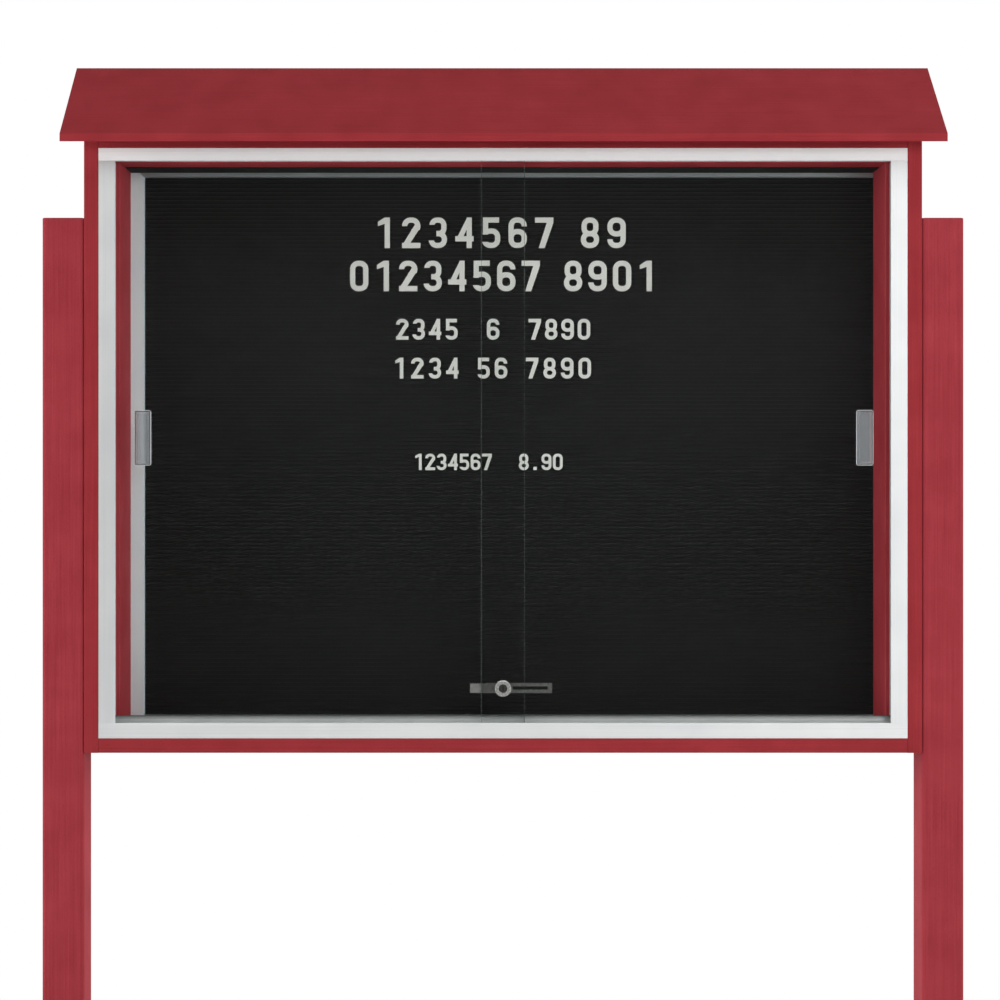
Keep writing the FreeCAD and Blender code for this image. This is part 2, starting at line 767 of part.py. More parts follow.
front_pane = f"({front} + track_wall + glass_play)"
rear_pane = f"({front_pane} + glass_thick + glass_gap)"
pane_low = f"({floor_level} + track_base + glide_thick + seat_gap)"
pane_height = f"({roof_level} - top_track_rise + door_bite - {pane_low})"
pane_width = f"({opening_half} + door_bite + door_overlap / 2)"
lock_level = "(case_bottom + lock_rise)"
pane = prism("door_glass_rear_body", "XZ_Plane", [rectangle("0", "0", pane_width, pane_height)], "glass_thick",
             (f"-({opening_half} + door_bite)", rear_pane, pane_low))
soften(pane, "glass_edge", kind="PartDesign::Chamfer")
keep(pane, "door_glass_rear")
pane = prism("door_glass_front_body", "XZ_Plane", [rectangle("0", "0", pane_width, pane_height)], "glass_thick",
             ("-door_overlap / 2", front_pane, pane_low),
             [("lock_across + door_overlap / 2", f"{lock_level} - {pane_low}", "neck_radius + neck_gap")])
soften(pane, "glass_edge", kind="PartDesign::Chamfer")
keep(pane, "door_glass_front")

# Finger pulls: clear plastic dishes bonded to the front faces of the panes

pull_level = "case_bottom + pull_rise - pull_height / 2"
for node, centre, pane_face in (
    ("pull_rear", f"-({opening_half} - pull_inset)", rear_pane),
    ("pull_front", f"({opening_half} - pull_inset)", front_pane),
):
    pull = prism(node + "_body", "XZ_Plane", [rectangle("0", "0", "pull_width", "pull_height")], "pull_thick",
                 (f"{centre} - pull_width / 2", f"{pane_face} - pull_thick", pull_level))
    soften(pull, "pull_rim * 0.8", "y")
    sink(pull, "XZ_Plane", [rectangle("pull_rim", "pull_rim", "pull_width - pull_rim", "pull_height - pull_rim")],
         "pull_thick - pull_floor", False)
    keep(pull, node)

# Lock: a keyed cam lock through the front pane, with a flat bar behind the glass and a keeper on
# the rear pane. Its round pieces are turned about Z and laid along Y.

lock_point = ("lock_across", front_pane, lock_level)


def laid(item, at):
    """Lay a piece that was turned about Z along Y, pointing to the back."""
    copy = doc.addObject("App::Link", item.Name + "_laid")
    copy.LinkedObject = item
    copy.Placement = FreeCAD.Placement(FreeCAD.Vector(), TURNS["+y"])
    place(copy, at)
    return copy


bore = "(plug_radius + turn_gap)"
tail_bore = "(tail_radius + turn_gap)"
barrel = turned("barrel_turned", [
    (bore, "-flange_thick"),
    ("flange_radius - flange_chamfer", "-flange_thick"),
    ("flange_radius", "-flange_thick + flange_chamfer"),
    ("flange_radius", "0"),
    ("neck_radius", "0"),
    ("neck_radius", "glass_thick"),
    (tail_bore, "glass_thick"),
    (tail_bore, "glass_thick - barrel_floor"),
    (bore, "glass_thick - barrel_floor"),
])
bar_back = f"({front_pane} + glass_thick + bar_thick)"
bar_points = [(f"lock_across {sign} bar_screw_across", bar_back, lock_level) for sign in "-+"]
bar_screws, bar_holes = countersunk("bar_screws", "bar_screw_head", "bar_screw_shank", "bar_screw",
                                    [("-y", bar_points)])
keep(bar_screws, "lock_bar_screws")
keep(cut("lock_barrel", laid(barrel, lock_point), bar_holes), "lock_barrel")

cam_start = "(glass_thick + bar_thick + cam_gap)"
plug = turned("plug_turned", [
    ("0", "-flange_thick + plug_recess"),
    ("plug_radius", "-flange_thick + plug_recess"),
    ("plug_radius", "glass_thick - barrel_floor - turn_gap"),
    ("tail_radius", "glass_thick - barrel_floor - turn_gap"),
    ("tail_radius", cam_start),
    ("0", cam_start),
])
square = block("tail_square_end", ("lock_across - tail_square / 2", f"{front_pane} + {cam_start}",
                                   f"{lock_level} - tail_square / 2"),
               ("tail_square", "cam_thick", "tail_square"))
plug_whole = doc.addObject("Part::Fuse", "plug_whole")
plug_whole.Base = laid(plug, lock_point)
plug_whole.Tool = square
keyway = block("keyway", ("lock_across - key_width / 2", f"{front_pane} - flange_thick - 1",
                          f"{lock_level} - key_height / 2"),
               ("key_width", "key_depth + 1", "key_height"))
cam_back = f"({front_pane} + {cam_start} + cam_thick)"
cam_screw_hole = rod("cam_screw_hole", "cam_screw_shank / 2", "cam_screw", ("lock_across", cam_back, lock_level), "-y")
keep(cut("lock_plug", plug_whole, keyway, cam_screw_hole), "lock_plug")

cam_screw = turned("cam_screw_turned", [
    ("0", "-cam_screw_cap"),
    ("cam_screw_head / 2", "-cam_screw_cap"),
    ("cam_screw_head / 2", "0"),
    ("cam_screw_shank / 2", "0"),
    ("cam_screw_shank / 2", "cam_screw - 1"),
    ("0", "cam_screw - 1"),
])
keep(repeat("cam_screw", cam_screw, [("-y", [("lock_across", cam_back, lock_level)])]), "lock_cam_screw")

square_half = "(tail_square / 2 + turn_gap)"
cam = prism("lock_cam_body", "XZ_Plane", [
    rectangle("-cam_half", "-cam_half", "cam_reach", "cam_half"),
    rectangle(f"-{square_half}", f"-{square_half}", square_half, square_half),
], "cam_thick", ("lock_across", f"{front_pane} + {cam_start}", lock_level))
keep(cam, "lock_cam")

# The bar has a row of teeth on the upper edge of its left end and a long slot in its right end

bar_half = "(bar_height / 2)"
tooth_count = 6
bar_loop = [("-bar_left", f"-{bar_half}"), ("bar_right", f"-{bar_half}"), ("bar_right", bar_half)]
for tooth in range(tooth_count, 0, -1):
    start = f"(-bar_left + bar_tooth * {tooth})"
    bar_loop += [(start, bar_half), (f"{start} - bar_tooth / 2", f"{bar_half} - bar_tooth_depth")]
bar_loop.append(("-bar_left", bar_half))
bar = prism("lock_bar_blank", "XZ_Plane", [
    bar_loop,
    rectangle("slot_start", "-slot_height / 2", "slot_end", "slot_height / 2"),
], "bar_thick", ("lock_across", f"{front_pane} + glass_thick", lock_level),
            [("0", "0", f"{tail_bore} + turn_gap")])
keep(cut("lock_bar", bar, bar_holes), "lock_bar")

keeper_depth = f"glass_gap - bar_thick - keeper_clear"
keeper = prism("lock_keeper_body", "XZ_Plane", [rectangle("-keeper_width", "0", "0", "keeper_height")], keeper_depth,
               ("lock_across - cam_half - keeper_gap", f"{rear_pane} - ({keeper_depth})",
                f"{lock_level} + cam_half + keeper_lift"))
keep(keeper, "lock_keeper")

# Letter board trim: an aluminium section with a square tube in front and a pocket behind it that
# holds the edge of the board. The four lengths are mitred at the corners.

trim_outline = [
    ("0", "0"),
    ("trim_width", "0"),
    ("trim_width", "trim_tube"),
    ("trim_wall", "trim_tube"),
    ("trim_wall", "panel_depth - trim_leg"),
    ("trim_width", "panel_depth - trim_leg"),
    ("trim_width", "panel_depth"),
    ("0", "panel_depth"),
]
trim_hollow = rectangle("trim_wall", "trim_wall", "trim_width - trim_wall", "trim_tube - trim_wall")
panel_plane = f"({front} + {panel_front})"
panel_width = f"({panel_right} - {panel_left})"


def trim_length(node, upright, far):
    """One side of the trim: its section over the full length, between two mitred ends."""
    role = "XY_Plane" if upright else "YZ_Plane"
    loops = []
    for loop in (trim_outline, trim_hollow):
        turned_loop = []
        for across, deep in loop:
            inset = f"{far} - ({across})" if far else across
            turned_loop.append((inset, deep) if upright else (deep, inset))
        loops.append(turned_loop)
    corner = (panel_left, panel_plane, floor_level)
    long_side = panel_height if upright else panel_width
    bar_body = prism(node + "_bar", role, loops, long_side, corner)
    outer = far if far else "0"
    inner = f"{far} - trim_width" if far else "trim_width"
    ends = [(outer, "0"), (outer, long_side), (inner, f"{long_side} - trim_width"), (inner, "trim_width")]
    if not upright:
        ends = [(along, across) for across, along in ends]
    mitre = prism(node + "_mitre", "XZ_Plane", [ends], "panel_depth", corner)
    both = doc.addObject("Part::Common", node + "_mitred")
    both.Base = bar_body
    both.Tool = mitre
    if upright:
        both = cut(node, both, letter_holes)
    keep(both, node)


trim_length("letter_stile_left", True, "")
trim_length("letter_stile_right", True, panel_width)
trim_length("letter_rail_bottom", False, "")
trim_length("letter_rail_top", False, panel_height)

# Letter board: a black sheet with grooves along its whole width, at one pitch

letter_edge = "(trim_width - letter_bite)"
letter_front = f"({front} + {board_depth} - trim_leg - letter_thick)"
letter_low = f"({floor_level} + {letter_edge})"
letter_width = f"({panel_width} - 2 * {letter_edge})"
letter_height = f"({panel_height} - 2 * {letter_edge})"
letter_board = prism("letter_board_body", "YZ_Plane", [rectangle("0", "0", "letter_thick", letter_height)],
                     letter_width, (f"{panel_left} + {letter_edge}", letter_front, letter_low))
sink(letter_board, "YZ_Plane", [rectangle("0", "groove_pitch / 2 - groove_width / 2", "groove_depth",
                                          "groove_pitch / 2 + groove_width / 2")], letter_width, True)
groove = letter_board.Tip
grooves = letter_board.newObject("PartDesign::LinearPattern", "letter_board_grooves")
grooves.Originals = [groove]
grooves.Direction = (groove.Profile[0], ["V_Axis"])
groove_count = int(number(f"floor({letter_height} / groove_pitch)"))
grooves.Length = number("groove_pitch") * (groove_count - 1)
grooves.Occurrences = groove_count
bind(grooves, "Length", f"groove_pitch * (floor({letter_height} / groove_pitch) - 1)")
bind(grooves, "Occurrences", f"floor({letter_height} / groove_pitch)")
letter_board.Tip = grooves
keep(letter_board, "letter_board")


# Press-in characters: plain digits, each cut from white plastic with tabs that enter the grooves

def slab(x_low, z_low, x_high, z_high):
    """A flat rectangular stroke."""
    corners = [(x_low, z_low), (x_high, z_low), (x_high, z_high), (x_low, z_high)]
    return plate(corners)


def plate(corners):
    """A flat face through corners in the plane of the board."""
    spots = [FreeCAD.Vector(across, 0, up) for across, up in corners]
    return Part.Face(Part.makePolygon(spots + spots[:1]))


def rounded(x_low, z_low, x_high, z_high, radius):
    """A flat rectangle with round corners."""
    quarter = math.pi / 2
    edges = []
    centres = [(x_high - radius, z_low + radius, -1), (x_high - radius, z_high - radius, 0),
               (x_low + radius, z_high - radius, 1), (x_low + radius, z_low + radius, 2)]
    ends = []
    for across, up, turn in centres:
        arc = []
        for step in (0, 0.5, 1):
            angle = quarter * (turn + step)
            arc.append(FreeCAD.Vector(across + radius * math.cos(angle), 0, up + radius * math.sin(angle)))
        edges.append(Part.Arc(*arc).toShape())
        ends.append((arc[0], arc[2]))
    sides = []
    for corner in range(4):
        start = ends[corner][1]
        end = ends[(corner + 1) % 4][0]
        sides.append(edges[corner])
        if start.distanceToPoint(end) > 1e-6:
            sides.append(Part.makeLine(start, end))
    return Part.Face(Part.Wire(sides))


def loop_stroke(x_low, z_low, x_high, z_high, radius, stroke):
    """A closed stroke with round corners."""
    outer = rounded(x_low, z_low, x_high, z_high, radius)
    inner = rounded(x_low + stroke, z_low + stroke, x_high - stroke, z_high - stroke, radius - stroke)
    return outer.cut(inner)


def figure(character, cap):
    """The flat face of a digit or a point of one height, from its lower left corner."""
    wide = cap * number("digit_slim")
    line = cap * number("digit_stroke")
    waist = cap * 0.56
    bend = wide * 0.46
    if character == "0":
        return loop_stroke(0, 0, wide, cap, bend, line)
    if character == "1":
        stem = slab(wide / 2, 0, wide / 2 + line, cap)
        flag = plate([(wide / 2, cap), (wide / 2 - line * 1.3, cap * 0.86), (wide / 2 - line * 1.3, cap * 0.72),
                      (wide / 2, cap * 0.8)])
        return stem.fuse(flag)
    if character == "2":
        bow = loop_stroke(0, cap - waist, wide, cap, bend, line)
        bow = bow.cut(slab(-1, cap - waist - 1, wide / 2, cap - waist / 2))
        bow = bow.cut(slab(wide / 2 - 1, cap - waist - 1, wide + 1, cap - waist + line * 0.9))
        foot = slab(0, 0, wide, line)
        start = cap - waist + line * 1.4
        return bow.fuse([foot, plate([(0, line * 0.5), (line * 1.25, line * 0.5), (wide, start),
                                      (wide - line, start + line * 0.6)])])
    if character == "3":
        low = loop_stroke(0, 0, wide, waist, bend, line)
        high = loop_stroke(wide * 0.04, waist - line, wide * 0.97, cap, bend * 0.92, line)
        gap = slab(-1, waist * 0.45, wide * 0.42, cap - waist * 0.42)
        return low.fuse(high).cut(gap)
    if character == "4":
        stem = slab(wide * 0.62, 0, wide * 0.62 + line, cap)
        cross = slab(0, cap * 0.22, wide, cap * 0.22 + line)
        lean = plate([(0, cap * 0.22), (line * 1.15, cap * 0.22), (wide * 0.62 + line, cap),
                      (wide * 0.62 + line * 0.1, cap)])
        return stem.fuse([cross, lean])
    if character == "5":
        low = loop_stroke(0, 0, wide, cap * 0.64, bend, line)
        low = low.cut(slab(-1, cap * 0.2, wide * 0.4, cap * 0.46))
        stem = slab(wide * 0.06, cap * 0.44, wide * 0.06 + line, cap)
        top = slab(wide * 0.06, cap - line, wide * 0.94, cap)
        return low.fuse([stem, top])
    if character in "69":
        split = cap * 0.31
        bow = loop_stroke(0, 0, wide, split * 2, bend, line).common(slab(line / 2, split, wide + 1, cap))
        back_stroke = loop_stroke(0, 0, wide, cap, bend, line)
        back_stroke = back_stroke.cut(slab(wide / 2, split, wide + 1, cap - line * 1.7))
        shape = back_stroke.fuse(bow)
        if character == "9":
            shape.rotate(FreeCAD.Vector(wide / 2, 0, cap / 2), FreeCAD.Vector(0, 1, 0), 180)
        return shape
    if character == "7":
        top = slab(0, cap - line, wide, cap)
        lean = plate([(wide * 0.2, 0), (wide * 0.2 + line * 1.15, 0), (wide, cap - line), (wide, cap),
                      (wide - line * 1.15, cap - line * 0.6)])
        return top.fuse(lean)
    if character == "8":
        low = loop_stroke(0, 0, wide, waist, bend, line)
        high = loop_stroke(wide * 0.04, waist - line, wide * 0.96, cap, bend * 0.92, line)
        return low.fuse(high)
    return slab(wide / 2 - line * 0.6, 0, wide / 2 + line * 0.6, line * 1.2)


def pressed(character, cap, left, base):
    """One character on the board, with a tab in the lowest and highest groove that it covers."""
    face = figure(character, cap).removeSplitter()
    face.translate(FreeCAD.Vector(left, number(letter_front), base))
    solid = face.extrude(FreeCAD.Vector(0, -number("digit_thick"), 0))
    behind = face.extrude(FreeCAD.Vector(0, number("groove_depth") - number("panel_gap"), 0))
    pitch = number("groove_pitch")
    start = number(letter_low) + pitch / 2
    thick = number("digit_tab")
    top = base + (cap if character != "." else cap * number("digit_stroke"))
    lowest = math.ceil((base + thick / 2 - start) / pitch)
    highest = math.floor((top - thick / 2 - start) / pitch)
    for groove_index in sorted({lowest, highest}):
        level = start + pitch * groove_index
        tab_zone = Part.makeBox(2 * cap, 4 * pitch, thick, FreeCAD.Vector(left - cap / 2, number(letter_front) - pitch,
                                                                         level - thick / 2))
        tab = behind.common(tab_zone)
        if level + thick / 2 <= top and level - thick / 2 >= base and tab.Volume > 0:
            solid = solid.fuse(tab)
    return solid.removeSplitter()


LINES = {
    "first": ["1234567", "89"],
    "second": ["01234567", "8901"],
    "third": ["2345", "6", "7890"],
    "fourth": ["1234", "56", "7890"],
    "fifth": ["1234567", "8.90"],
}
for line, words in LINES.items():
    cap = number(f"{line}_cap")
    left = number(f"{line}_left")
    base = number(f"{letter_low} + {letter_height} * {line}_level")
    solids = []
    for word in words:
        for character in word:
            solids += pressed(character, cap, left, base).Solids
            left += number(f"{line}_step")
        left += number(f"{line}_space - {line}_step") + cap * number("digit_slim")
    if len(solids) != sum(len(word) for word in words):
        raise ValueError(f"the {line} line has {len(solids)} characters")
    characters = doc.addObject("Part::Feature", f"digits_{line}_set")
    characters.Shape = Part.makeCompound(solids)
    keep(characters, f"digits_{line}")

doc.recompute()

# Test every object, then write each piece to its file

for item in doc.Objects:
    if "Invalid" in item.State or "Error" in item.State:
        raise ValueError(f"{item.Name} failed: {item.State}")
os.makedirs("parts", exist_ok=True)
for node, item in parts:
    if item.Shape.isNull() or not item.Shape.isValid():
        raise ValueError(f"the shape of {node} is not valid")
    item.Shape.exportStep(f"parts/{node}.step")
    print(f"{node}: {len(item.Shape.Solids)} solids, {item.Shape.Volume / 1000:.1f} cm3")
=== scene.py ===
import bmesh
import bpy
import json
import math
from mathutils import Matrix, Vector


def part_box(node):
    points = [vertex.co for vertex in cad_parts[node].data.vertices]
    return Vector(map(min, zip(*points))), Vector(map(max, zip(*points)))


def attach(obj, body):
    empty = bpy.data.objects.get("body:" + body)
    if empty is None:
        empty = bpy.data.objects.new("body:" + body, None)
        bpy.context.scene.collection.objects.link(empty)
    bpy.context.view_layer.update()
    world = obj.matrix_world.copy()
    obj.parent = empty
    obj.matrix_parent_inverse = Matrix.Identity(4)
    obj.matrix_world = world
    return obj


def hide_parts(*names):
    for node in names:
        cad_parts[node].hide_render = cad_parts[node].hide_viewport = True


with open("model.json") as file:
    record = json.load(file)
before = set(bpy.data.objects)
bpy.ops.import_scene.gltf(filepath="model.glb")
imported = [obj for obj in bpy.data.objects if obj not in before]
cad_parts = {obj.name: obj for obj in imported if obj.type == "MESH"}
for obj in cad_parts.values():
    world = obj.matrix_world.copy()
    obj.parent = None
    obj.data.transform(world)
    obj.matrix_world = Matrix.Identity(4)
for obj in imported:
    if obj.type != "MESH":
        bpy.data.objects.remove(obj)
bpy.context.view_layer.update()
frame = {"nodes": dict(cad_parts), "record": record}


# View of the board
# The board is seen square on from 3 m, by a level camera a little left of its middle and at the
# height of the lowest line on it. The small shift puts the board where it lies in the picture.

MM = 0.001
case_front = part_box("side_board_left")[0].y
camera_distance = 3000 * MM
camera_height = 1446.6 * MM
camera_left = 50 * MM
camera_data = bpy.data.cameras.new("board_view")
camera_data.sensor_width = 36
camera_data.lens = 71.3
camera_data.shift_x = 0.03
camera_data.shift_y = -0.03
camera = bpy.data.objects.new("board_view", camera_data)
camera.location = (-camera_left, case_front - camera_distance, camera_height)
camera.rotation_euler = (math.radians(90), 0, 0)
bpy.context.scene.collection.objects.link(camera)
bpy.context.scene.camera = camera
bpy.context.scene.view_settings.view_transform = "Standard"


# Ground, backdrop and lamps
# A pale paved floor lies at the ground line and fades into the white backdrop. Two large soft lamps
# at the sides reach into the case past the doors' frame, a small one in front and a weak one overhead
# fill in, and two stand behind for the back. None of them is mirrored in metal or glass.

def linear(hex_code):
    """The linear colour of an sRGB hex value."""
    parts = [int(hex_code[start:start + 2], 16) / 255 for start in (0, 2, 4)]
    lit = [part / 12.92 if part <= 0.04045 else ((part + 0.055) / 1.055) ** 2.4 for part in parts]
    return (*lit, 1.0)


def add(tree, kind, inputs=None, **settings):
    """Add a node. Each input is given a value, or another node's output to be linked to."""
    made = tree.nodes.new(kind)
    for name, value in settings.items():
        setattr(made, name, value)
    for socket, value in (inputs or {}).items():
        if isinstance(value, bpy.types.NodeSocket):
            tree.links.new(value, made.inputs[socket])
        else:
            made.inputs[socket].default_value = value
    return made


def sight_rays(tree):
    """Two switches: one for rays straight from the eye, one for rays mirrored or through glass."""
    path = add(tree, "ShaderNodeLightPath").outputs
    either = {0: path["Is Glossy Ray"], 1: path["Is Transmission Ray"]}
    mirrored_or_clear = add(tree, "ShaderNodeMath", either, operation="MAXIMUM").outputs[0]
    return path["Is Camera Ray"], mirrored_or_clear


ground_radius = 6
matt_radius = 0.9
lit_radius = 2.1
ground = bmesh.new()
bmesh.ops.create_circle(ground, cap_ends=True, cap_tris=True, radius=ground_radius, segments=96)
ground_mesh = bpy.data.meshes.new("ground")
ground.to_mesh(ground_mesh)
ground.free()
ground_disc = bpy.data.objects.new("ground", ground_mesh)
bpy.context.scene.collection.objects.link(ground_disc)

# Pale ground: matt near the posts, where it takes their shadows, and lit like the backdrop at its
# rim for the rays that see it. White is a strength of 1.
paving = bpy.data.materials.new("pale ground")
paving.use_nodes = True
tree = paving.node_tree
tree.nodes.clear()
spot = add(tree, "ShaderNodeTexCoord").outputs["Object"]
reach = add(tree, "ShaderNodeVectorMath", {0: spot}, operation="LENGTH").outputs["Value"]
rim = add(tree, "ShaderNodeMapRange", {"Value": reach, "From Min": matt_radius, "From Max": lit_radius},
          interpolation_type="SMOOTHSTEP").outputs["Result"]
seen_straight, mirrored_or_clear = sight_rays(tree)
sight = add(tree, "ShaderNodeMath", {0: seen_straight, 1: mirrored_or_clear},
            operation="MAXIMUM").outputs[0]
lit_rim = add(tree, "ShaderNodeMath", {0: rim, 1: sight}, operation="MULTIPLY").outputs[0]
matt = add(tree, "ShaderNodeBsdfDiffuse", {"Color": linear("EDEDEB")}).outputs[0]
white = add(tree, "ShaderNodeEmission", {"Color": (1, 1, 1, 1), "Strength": 1.0}).outputs[0]
ground_look = add(tree, "ShaderNodeMixShader", {0: lit_rim, 1: matt, 2: white}).outputs[0]
add(tree, "ShaderNodeOutputMaterial", {"Surface": ground_look})
ground_mesh.materials.append(paving)

# The backdrop is white to the eye all round, and lights the board evenly at a third of that. In
# reflections it grows brighter up and to the right in front of the board, and is an even grey at the
# far sides. A dark oblong patch straight ahead is like the black screen round a camera that keeps
# glare off the glass. Where each begins and ends is given as parts of a direction of length 1.
lighting_strength = 0.3
screen_strength = 0.02
screen_centre = 0.1
climb_share = 1.4
faintest_mirrored = 0.1
brightest_mirrored = 2.7
far_side_strength = 0.6
world = bpy.data.worlds.new("backdrop")
world.use_nodes = True
bpy.context.scene.world = world
tree = world.node_tree
tree.nodes.clear()
way = add(tree, "ShaderNodeTexCoord").outputs["Generated"]
across, depth, rise = add(tree, "ShaderNodeSeparateXYZ", {0: way}).outputs[:]
aside = add(tree, "ShaderNodeMath", {0: across}, operation="ABSOLUTE").outputs[0]
above = add(tree, "ShaderNodeMath", {0: rise, 1: screen_centre}, operation="SUBTRACT").outputs[0]
above = add(tree, "ShaderNodeMath", {0: above}, operation="ABSOLUTE").outputs[0]
beside = add(tree, "ShaderNodeMapRange", {"Value": aside, "From Min": 0.22, "From Max": 0.25}).outputs[0]
over = add(tree, "ShaderNodeMapRange", {"Value": above, "From Min": 0.27, "From Max": 0.45}).outputs[0]
screen = add(tree, "ShaderNodeMath", {0: beside, 1: over}, operation="MAXIMUM").outputs[0]
screen = add(tree, "ShaderNodeMath", {0: screen, 1: screen_strength}, operation="MAXIMUM").outputs[0]
uphill = add(tree, "ShaderNodeMath", {0: rise, 1: climb_share, 2: across},
             operation="MULTIPLY_ADD").outputs[0]
slant = add(tree, "ShaderNodeMapRange", {
    "Value": uphill,
    "From Min": -0.35,
    "From Max": 0.35,
    "To Min": faintest_mirrored,
    "To Max": brightest_mirrored,
}).outputs[0]
ahead = add(tree, "ShaderNodeMath", {0: screen, 1: slant}, operation="MULTIPLY").outputs[0]
outer = add(tree, "ShaderNodeMapRange", {"Value": aside, "From Min": 0.45, "From Max": 0.6}).outputs[0]
ahead = add(tree, "ShaderNodeMix", {0: outer, 2: ahead, 3: far_side_strength}).outputs[0]
turned_back = add(tree, "ShaderNodeMapRange", {"Value": depth, "From Min": -0.2,
                                               "From Max": 0.1}).outputs[0]
room = add(tree, "ShaderNodeMix", {0: turned_back, 2: ahead, 3: 1.0}).outputs[0]
seen_straight, mirrored_or_clear = sight_rays(tree)
seen = add(tree, "ShaderNodeMix", {0: mirrored_or_clear, 2: lighting_strength, 3: room}).outputs[0]
strength = add(tree, "ShaderNodeMix", {0: seen_straight, 2: seen, 3: 1.0}).outputs[0]
backdrop = add(tree, "ShaderNodeBackground", {"Color": (1, 1, 1, 1), "Strength": strength}).outputs[0]
add(tree, "ShaderNodeOutputWorld", {"Surface": backdrop})

# The lamps' places and sizes are in metres. Each faces the middle of the case.
case_middle = Vector((0, 0, 1.45))
for name, place, size, watts in (
    ("right_lamp", (3.9, -1.1, 1.8), (2.2, 2.2), 66),
    ("left_lamp", (-3.9, -1.1, 1.8), (2.2, 2.2), 100),
    ("front_lamp", (0.7, -2.4, 2.05), (1.4, 0.6), 18),
    ("overhead_lamp", (1.2, -1.6, 4.2), (2.4, 1.6), 9),
    ("rear_lamp_left", (-2.6, 3.2, 1.9), (2.2, 2.2), 60),
    ("rear_lamp_right", (2.6, 3.2, 1.9), (2.2, 2.2), 60),
):
    lamp_data = bpy.data.lights.new(name, "AREA")
    lamp_data.shape = "RECTANGLE"
    lamp_data.size = size[0]
    lamp_data.size_y = size[1]
    lamp_data.energy = watts
    lamp = bpy.data.objects.new(name, lamp_data)
    lamp.visible_glossy = False
    lamp.visible_transmission = False
    lamp.location = place
    lamp.rotation_euler = (case_middle - Vector(place)).to_track_quat("-Z", "Y").to_euler()
    bpy.context.scene.collection.objects.link(lamp)


# Posts
# Two square posts of recycled plastic lumber, with rounded edges from their mould. They stand in
# the ground and hold the case between them by lag bolts, whose heads lie in bores on the outside.

def surface(name, sockets):
    """A new material: its tree, its shader with the even values of the finish, and object space."""
    material = bpy.data.materials.new(name)
    material.use_nodes = True
    tree = material.node_tree
    tree.nodes.clear()
    shader = add(tree, "ShaderNodeBsdfPrincipled", sockets)
    add(tree, "ShaderNodeOutputMaterial", {"Surface": shader.outputs[0]})
    return material, tree, shader, add(tree, "ShaderNodeTexCoord").outputs["Object"]


def plastic_lumber(name, along, deep, pale):
    """Recycled polyethylene lumber, cast with a brushed face: a soft sheen, fine lines along the
    board, cloudy colour from the mixed flakes, and small pits from gas in the melt. The lines and
    pits are finer on the real board, and are drawn coarser so that they show."""
    line_width = 2.2 * MM
    line_length = 160 * MM
    cloud_width = 55 * MM
    pit_width = 1.4 * MM
    relief_depth = 0.25 * MM
    material, tree, shader, spot = surface(name, {"IOR": 1.54, "Specular IOR Level": 0.07})
    line_scale = [1 / line_width] * 3
    line_scale[along] = 1 / line_length
    stretched = add(tree, "ShaderNodeMapping", {"Vector": spot, "Scale": line_scale}).outputs[0]
    lines = add(tree, "ShaderNodeTexNoise", {"Vector": stretched, "Scale": 1, "Detail": 3}).outputs[0]
    clouds = add(tree, "ShaderNodeTexNoise", {"Vector": spot, "Scale": 1 / cloud_width,
                                              "Detail": 2}).outputs[0]
    grit = add(tree, "ShaderNodeTexNoise", {"Vector": spot, "Scale": 1 / pit_width, "Detail": 2}).outputs[0]
    pits = add(tree, "ShaderNodeMapRange", {"Value": grit, "From Min": 0.28, "From Max": 0.42}).outputs[0]
    blend = add(tree, "ShaderNodeMix", {0: 0.55, 2: clouds, 3: lines}).outputs[0]
    tone = add(tree, "ShaderNodeMapRange", {"Value": blend, "From Min": 0.32, "From Max": 0.68}).outputs[0]
    flakes = add(tree, "ShaderNodeMix", {0: tone, 6: linear(deep), 7: linear(pale)},
                 data_type="RGBA").outputs[2]
    specks = add(tree, "ShaderNodeMapRange", {"Value": pits, "To Min": 0.82, "To Max": 1.0}).outputs[0]
    dimmed = add(tree, "ShaderNodeVectorMath", {0: flakes, "Scale": specks}, operation="SCALE").outputs[0]
    tree.links.new(dimmed, shader.inputs["Base Color"])
    sheen = add(tree, "ShaderNodeMapRange", {"Value": lines, "From Min": 0.3, "From Max": 0.7,
                                             "To Min": 0.6, "To Max": 0.75}).outputs[0]
    tree.links.new(sheen, shader.inputs["Roughness"])
    relief = add(tree, "ShaderNodeMath", {0: lines, 1: pits}, operation="ADD").outputs[0]
    bump = add(tree, "ShaderNodeBump", {"Height": relief, "Strength": 0.35,
                                        "Distance": relief_depth}).outputs[0]
    tree.links.new(bump, shader.inputs["Normal"])
    return material


upright_lumber = plastic_lumber("recycled plastic lumber, upright", 2, "8F2D32", "A3383E")
level_lumber = plastic_lumber("recycled plastic lumber, level", 0, "8F2D32", "A3383E")
post_lumber = plastic_lumber("recycled plastic lumber, posts", 2, "96323A", "AA3F47")
record = frame["record"]
body_of = {node: body for body, group in record["behaviour"]["bodies"].items() for node in group}


def shade_evenly(piece):
    """Let large faces look flat beside their rounded edges."""
    even = piece.modifiers.new("even shading", "WEIGHTED_NORMAL")
    even.keep_sharp = True


def shown(name, shape, materials, node):
    """Make a finished mesh the piece that is seen in place of a CAD piece."""
    mesh = bpy.data.meshes.new(name)
    shape.to_mesh(mesh)
    shape.free()
    for material in materials:
        mesh.materials.append(material)
    piece = bpy.data.objects.new(name, mesh)
    bpy.context.scene.collection.objects.link(piece)
    shade_evenly(piece)
    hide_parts(node)
    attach(piece, body_of[node])
    return piece


def filling(node):
    """A new block that fills a CAD piece's box."""
    low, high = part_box(node)
    shape = bmesh.new()
    bmesh.ops.create_cube(shape, size=1)
    bmesh.ops.scale(shape, vec=high - low, verts=shape.verts)
    bmesh.ops.translate(shape, vec=(low + high) / 2, verts=shape.verts)
    return shape


